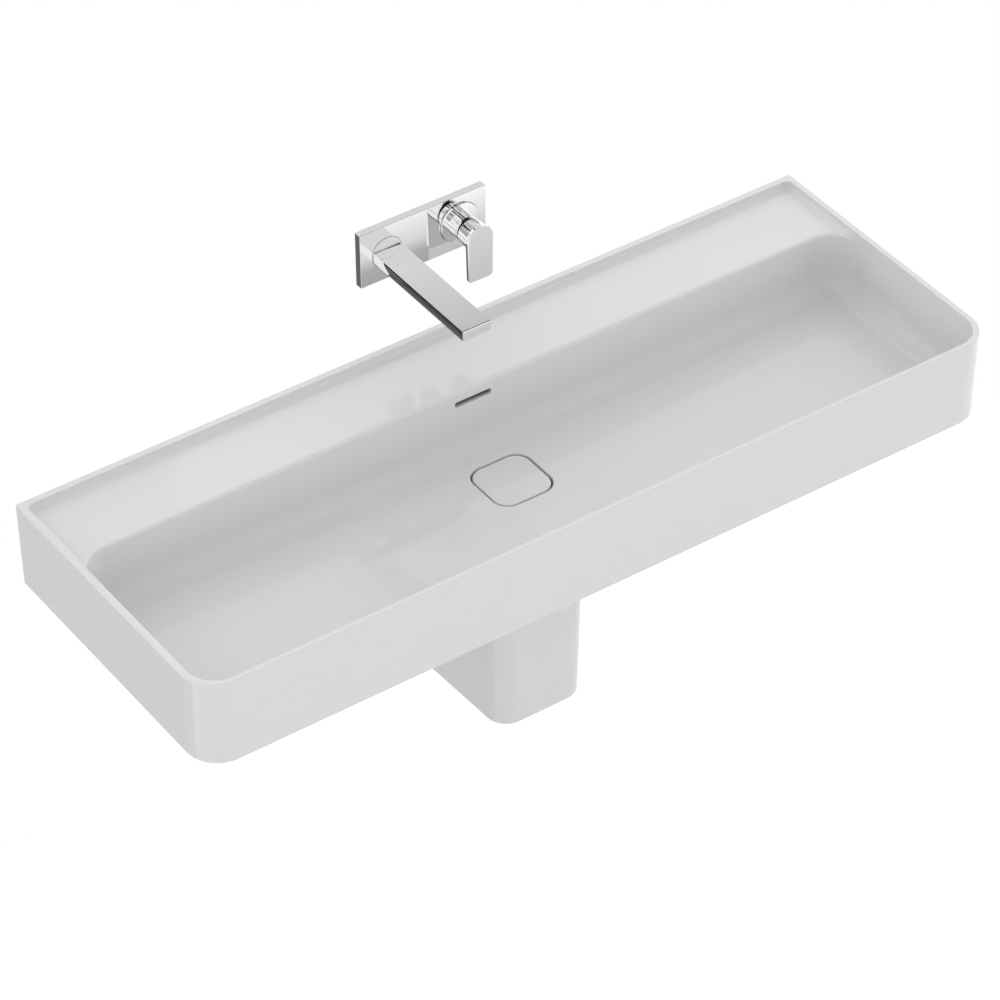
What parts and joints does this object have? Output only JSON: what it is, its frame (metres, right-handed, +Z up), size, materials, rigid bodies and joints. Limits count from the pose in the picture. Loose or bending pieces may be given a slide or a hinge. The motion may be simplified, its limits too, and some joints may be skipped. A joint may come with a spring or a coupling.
{
  "type": "wall-hung washbasin",
  "caption": "Wide wall-hung ceramic washbasin with a tap ledge, covered click waste, trap, half pedestal and a wall-mounted single-lever mixer above.",
  "frame": {"origin": "middle of the two basin fixings, on the face of the wall", "axes": "+X to the right when facing the basin, +Y into the wall, +Z up"},
  "size_m": [1.2, 0.494, 0.6542],
  "materials": {
    "white_glaze": "glossy white glaze",
    "chrome": "polished",
    "brass": "as cast and machined",
    "steel": "zinc plated or stainless",
    "grey_plastic": "moulded",
    "white_plastic": "moulded polypropylene",
    "black_rubber": "moulded",
    "grey_foam": "closed-cell foam",
    "disc_ceramic": "lapped"
  },
  "bodies": {
    "fixed_parts": {"basin_body": "white_glaze", "semi_pedestal": "white_glaze", "basin_hanger_bolts": "steel", "basin_fixing_sleeves": "grey_plastic", "basin_fixing_washers": "steel", "basin_fixing_nuts": "steel", "waste_body": "chrome", "waste_flange_seal": "black_rubber", "waste_cone_washer": "black_rubber", "waste_backnut": "brass", "clicker_housing": "grey_plastic", "clicker_spring": "steel", "trap_bottle": "white_plastic", "trap_tube_washer": "black_rubber", "trap_tube_nut": "white_plastic", "trap_inlet_washer": "black_rubber", "trap_inlet_nut": "white_plastic", "trap_inlet_tube": "white_plastic", "trap_cup_seal": "black_rubber", "trap_cup": "white_plastic", "trap_outlet_washer": "black_rubber", "trap_outlet_nut": "white_plastic", "trap_outlet_pipe": "white_plastic", "trap_wall_rosette": "white_plastic", "pedestal_hanger_bolts": "steel", "pedestal_washers": "steel", "pedestal_nuts": "steel", "mixer_body": "brass", "cartridge_housing": "grey_plastic", "cartridge_seal": "black_rubber", "fixed_disc": "disc_ceramic", "cartridge_nut": "brass", "handle_sleeve": "chrome", "mixer_plate": "chrome", "plate_gasket": "grey_foam", "spout": "chrome", "spout_nipple": "brass", "spout_set_screw": "steel", "aerator_housing": "chrome", "aerator_insert": "white_plastic", "aerator_seal": "black_rubber"},
    "handle_rotor": {"cartridge_rotor": "grey_plastic", "pivot_pin": "steel"},
    "lever_assembly": {"lever": "chrome", "lever_stem": "steel", "lever_screw": "steel", "lever_screw_cap": "grey_plastic"},
    "ceramic_disc": {"moving_disc": "disc_ceramic", "disc_driver": "grey_plastic"},
    "plug": {"waste_cover": "white_glaze", "plug_disc": "chrome", "plug_seal": "black_rubber", "plug_stem": "steel"}
  },
  "joints": [
    {"name": "lever_swing", "type": "hinge", "parent": "fixed_parts", "child": "handle_rotor", "pos_m": [0.055, -0.02, 0.2408], "axis": [0, 1, 0], "range_deg": [-45, 45]},
    {"name": "lever_lift", "type": "hinge", "parent": "handle_rotor", "child": "lever_assembly", "pos_m": [0.055, -0.031, 0.2468], "axis": [-1, 0, 0], "range_deg": [0, 15]},
    {"name": "disc_slide", "type": "slide", "parent": "handle_rotor", "child": "ceramic_disc", "axis": [0, 0, 1], "range_m": [-0.00292, 0]},
    {"name": "plug_click", "type": "slide", "parent": "fixed_parts", "child": "plug", "axis": [0, 0, 1], "range_m": [0, 0.008], "deforming": ["clicker_spring"]}
  ],
  "couplings": [
    {"joint": "disc_slide", "follows": "lever_lift", "m_per_rad": -0.01108}
  ]
}
